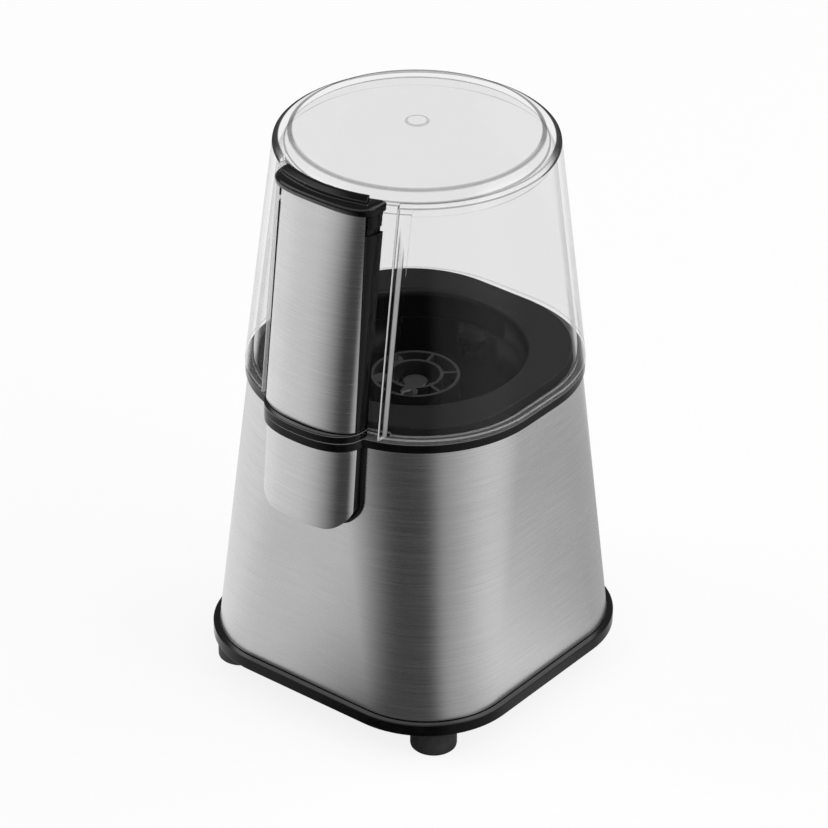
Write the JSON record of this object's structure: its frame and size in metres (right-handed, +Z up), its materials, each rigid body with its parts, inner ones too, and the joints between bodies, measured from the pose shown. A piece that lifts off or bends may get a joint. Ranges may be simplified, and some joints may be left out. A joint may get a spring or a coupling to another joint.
{
  "type": "electric spice grinder",
  "caption": "Electric spice grinder: tapered steel housing on feet, a deck with a cup well and drive coupling, and a clear lid with a steel-fronted handle and a push button.",
  "frame": {"origin": "on the motor's axis, at table level under the feet", "axes": "+Z up along the motor's axis, -Y to the front where the handle and button are, +X to the right seen from the front"},
  "size_m": [0.125, 0.1324, 0.2182],
  "materials": {
    "steel": "brushed",
    "gloss_black": "gloss",
    "satin_black": "satin",
    "clear_lid": "clear",
    "rubber_black": "matte",
    "zinc_screw": "satin",
    "nylon": "satin",
    "switch_case": "satin",
    "switch_red": "satin",
    "shaft_steel": "ground",
    "bronze": "sintered",
    "lamination": "matte",
    "copper": "enamelled",
    "pressed_steel": "zinc plated",
    "brass_tube": "satin",
    "carbon": "matte"
  },
  "bodies": {
    "base": {"feet": "rubber_black", "base_plate": "gloss_black", "base_screws": "zinc_screw", "steel_housing": "steel", "cord_gland": "rubber_black", "collar_ring": "gloss_black", "well_deck": "satin_black", "pod_frame": "gloss_black", "pod_panel": "steel", "plunger_spring": "zinc_screw", "micro_switch": "switch_case", "shaft_seal": "rubber_black", "upper_bush": "bronze", "lower_bush": "bronze", "stator_core": "lamination", "field_coils": "copper", "upper_bracket": "pressed_steel", "lower_bracket": "pressed_steel", "through_bolts": "zinc_screw", "brush_holders": "brass_tube", "carbon_brushes": "carbon", "motor_dampers": "rubber_black", "motor_screws": "zinc_screw"},
    "lid": {"lid_shell": "clear_lid", "handle_frame": "gloss_black", "handle_panel": "steel", "handle_screws": "zinc_screw", "button_spring": "zinc_screw"},
    "button": {"push_button": "gloss_black", "push_rod": "nylon"},
    "plunger": {"switch_plunger": "nylon"},
    "lever": {"switch_lever": "zinc_screw"},
    "pin": {"switch_pin": "switch_red"},
    "rotor": {"motor_shaft": "shaft_steel", "rotor_core": "lamination", "rotor_windings": "copper", "commutator": "copper", "cooling_fan": "nylon", "drive_coupling": "satin_black", "coupling_nut": "satin_black"}
  },
  "joints": [
    {"name": "lid_lift", "type": "slide", "parent": "base", "child": "lid", "axis": [0, 0, 1], "range_m": [0, 0.15]},
    {"name": "button_press", "type": "slide", "parent": "lid", "child": "button", "axis": [0, 0, -1], "range_m": [0, 0.002], "stiffness_N_per_m": 900, "springref_m": -0.004, "deforming": ["button_spring"]},
    {"name": "plunger_press", "type": "slide", "parent": "base", "child": "plunger", "axis": [0, 0, -1], "range_m": [0, 0.002], "stiffness_N_per_m": 300, "springref_m": -0.003, "deforming": ["plunger_spring"]},
    {"name": "lever_swing", "type": "hinge", "parent": "base", "child": "lever", "pos_m": [-0.0115, -0.0488, 0.09275], "axis": [0, 1, 0], "range_deg": [0, 10.03]},
    {"name": "pin_press", "type": "slide", "parent": "base", "child": "pin", "axis": [0, 0, -1], "range_m": [0, 0.0007]},
    {"name": "drive_spin", "type": "hinge", "parent": "base", "child": "rotor", "pos_m": [0, 0, 0.06], "axis": [0, 0, 1], "continuous": true}
  ],
  "couplings": [
    {"joint": "plunger_press", "follows": "button_press", "ratio": 1},
    {"joint": "lever_swing", "follows": "button_press", "rad_per_m": 87.4},
    {"joint": "pin_press", "follows": "button_press", "ratio": 0.3478}
  ]
}
